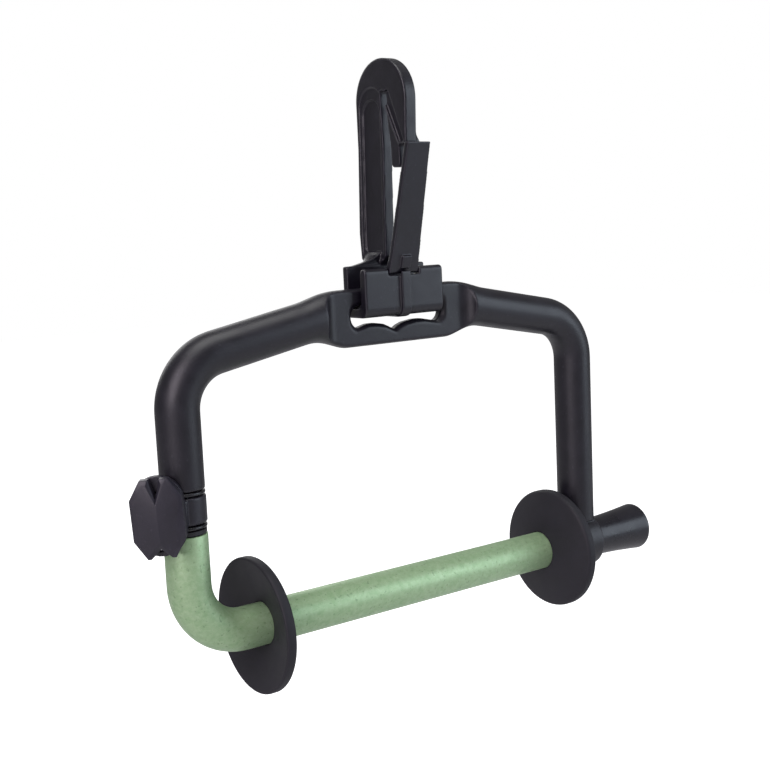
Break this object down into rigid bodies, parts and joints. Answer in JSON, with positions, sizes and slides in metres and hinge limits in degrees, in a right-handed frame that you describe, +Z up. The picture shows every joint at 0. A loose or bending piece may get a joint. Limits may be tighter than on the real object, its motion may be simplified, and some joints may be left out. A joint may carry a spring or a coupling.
{
  "type": "line spool dispenser",
  "caption": "Spool dispenser: a hanging arch with a snap hook, a hinged bar with rubber discs for line spools, and a line cutter.",
  "frame": {"origin": "top of the hook's throat, where the ring or cord that carries the dispenser bears", "axes": "+Z up along the load, +X along the swing bar towards its open end, -Y the front with the hook's gate and the cutter's cover"},
  "size_m": [0.1586, 0.0322, 0.1466],
  "materials": {
    "black_plastic": "satin black moulding",
    "gate_plastic": "satin black moulding",
    "frame_plastic": "satin black moulding",
    "brass": "machined",
    "steel": "zinc plated",
    "washer_steel": "zinc plated",
    "bush_plastic": "dull black",
    "ring_rubber": "matt black",
    "lower_ring_rubber": "matt black",
    "collar_plastic": "satin black moulding",
    "cover_plastic": "satin black moulding",
    "blade_steel": "ground",
    "screw_steel": "zinc plated",
    "green_aluminium": "green anodised, matt",
    "left_disc_rubber": "matt dark grey",
    "right_disc_rubber": "matt dark grey",
    "plug_plastic": "satin black",
    "plug_ring_rubber": "matt black"
  },
  "bodies": {
    "hook": {"hook_body": "black_plastic"},
    "gate": {"hook_gate": "gate_plastic"},
    "arch": {"frame": "frame_plastic", "pivot_insert": "brass", "pivot_bolt": "steel", "upper_ring": "ring_rubber"},
    "cutter": {"cutter_collar": "collar_plastic", "cutter_cover": "cover_plastic", "cutter_blade": "blade_steel", "cutter_screw": "screw_steel"},
    "bar": {"swing_bar": "green_aluminium", "pivot_bush": "bush_plastic", "pivot_washer": "washer_steel", "lower_ring": "lower_ring_rubber", "end_plug": "plug_plastic", "plug_ring": "plug_ring_rubber"},
    "disc_left": {"left_disc": "left_disc_rubber"},
    "disc_right": {"right_disc": "right_disc_rubber"}
  },
  "joints": [
    {"name": "gate_open", "type": "hinge", "parent": "hook", "child": "gate", "pos_m": [0, -0.0032, -0.04285], "axis": [1, 0, 0], "range_deg": [0, 12], "stiffness_Nm_per_rad": 0.12},
    {"name": "arch_swing", "type": "hinge", "parent": "hook", "child": "arch", "pos_m": [0, 0.0006, -0.04885], "axis": [1, 0, 0], "range_deg": [-35, 35]},
    {"name": "cutter_turn", "type": "hinge", "parent": "arch", "child": "cutter", "pos_m": [-0.0605, 0.0006, -0.0923], "axis": [0, 0, 1], "range_deg": [-60, 60]},
    {"name": "bar_swing", "type": "hinge", "parent": "arch", "child": "bar", "pos_m": [-0.0605, 0.0006, -0.1006], "axis": [0, 0, 1], "range_deg": [0, 175]},
    {"name": "left_disc_slide", "type": "slide", "parent": "bar", "child": "disc_left", "axis": [1, 0, 0], "range_m": [0, 0.038]},
    {"name": "right_disc_slide", "type": "slide", "parent": "bar", "child": "disc_right", "axis": [1, 0, 0], "range_m": [-0.038, 0]}
  ]
}
